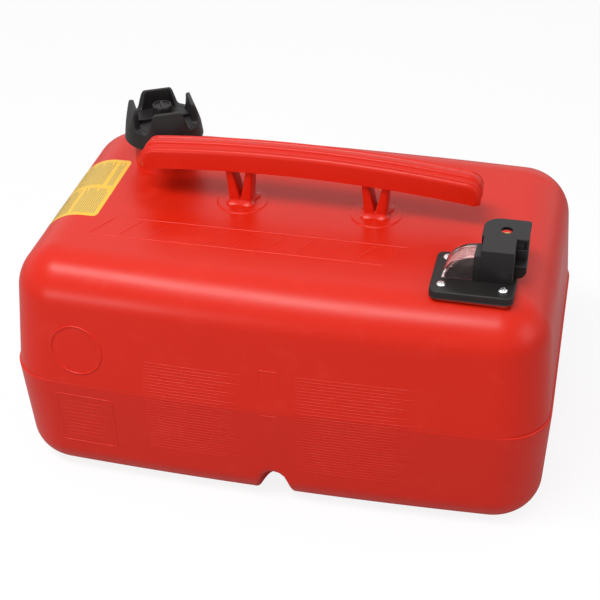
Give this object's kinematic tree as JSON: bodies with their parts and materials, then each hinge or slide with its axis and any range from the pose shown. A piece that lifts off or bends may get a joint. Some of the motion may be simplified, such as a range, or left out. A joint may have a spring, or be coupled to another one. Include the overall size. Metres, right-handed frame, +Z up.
{
  "type": "portable outboard fuel tank",
  "caption": "Low blow-moulded portable fuel tank with carrying handle, screw cap with vent screw, and a float gauge unit with a hose outlet.",
  "frame": {"origin": "centre of the tank's underside, on the floor it stands on", "axes": "+X along the length towards the gauge unit, +Y across the width away from the gauge side, +Z up"},
  "size_m": [0.4812, 0.312, 0.283],
  "materials": {
    "red_tank": "fine moulded grain, slight sheen",
    "black_plastic": "satin moulded",
    "seal_rubber": "matt",
    "clear_plastic": "polished clear plastic",
    "signal_red": "gloss",
    "bright_screw": "plated",
    "steel_wire": "drawn",
    "brass_part": "turned",
    "float_foam": "closed-cell foam",
    "white_plastic": "natural"
  },
  "bodies": {
    "tank": {"tank_body": "red_tank", "carry_handle": "red_tank", "sender_base": "black_plastic", "sender_gasket": "seal_rubber", "sender_screws": "bright_screw", "thread_inserts": "brass_part", "gauge_lens": "clear_plastic", "pivot_pin": "steel_wire", "pivot_clip": "steel_wire", "pickup_tube": "brass_part", "tube_ring": "seal_rubber", "pickup_strainer": "white_plastic", "outlet_plug": "brass_part", "outlet_ring": "seal_rubber"},
    "cap_ring": {"cap_gasket": "seal_rubber"},
    "cap": {"fuel_cap": "black_plastic"},
    "vent_washer": {"vent_seal": "seal_rubber"},
    "vent": {"vent_screw": "black_plastic", "vent_clip": "white_plastic"},
    "float": {"float_hub": "white_plastic", "float_arm": "steel_wire", "gauge_float": "float_foam", "float_clips": "steel_wire", "gauge_pointer": "signal_red"}
  },
  "joints": [
    {"name": "cap_lift", "type": "slide", "parent": "tank", "child": "cap_ring", "axis": [0, 0, 1], "range_m": [0, 0.012]},
    {"name": "cap_turn", "type": "hinge", "parent": "cap_ring", "child": "cap", "pos_m": [-0.147, 0.062, 0.257], "axis": [0, 0, 1], "range_deg": [0, 720]},
    {"name": "vent_lift", "type": "slide", "parent": "cap", "child": "vent_washer", "axis": [0, 0, 1], "range_m": [0, 0.0015]},
    {"name": "vent_turn", "type": "hinge", "parent": "vent_washer", "child": "vent", "pos_m": [-0.147, 0.062, 0.271], "axis": [0, 0, 1], "range_deg": [0, 540]},
    {"name": "float_swing", "type": "hinge", "parent": "tank", "child": "float", "pos_m": [0.166, -0.091, 0.2202], "axis": [0, 1, 0], "range_deg": [0, 43]}
  ],
  "couplings": [
    {"joint": "cap_lift", "follows": "cap_turn", "m_per_rad": 0.000954},
    {"joint": "vent_lift", "follows": "vent_turn", "m_per_rad": 0.000159}
  ]
}
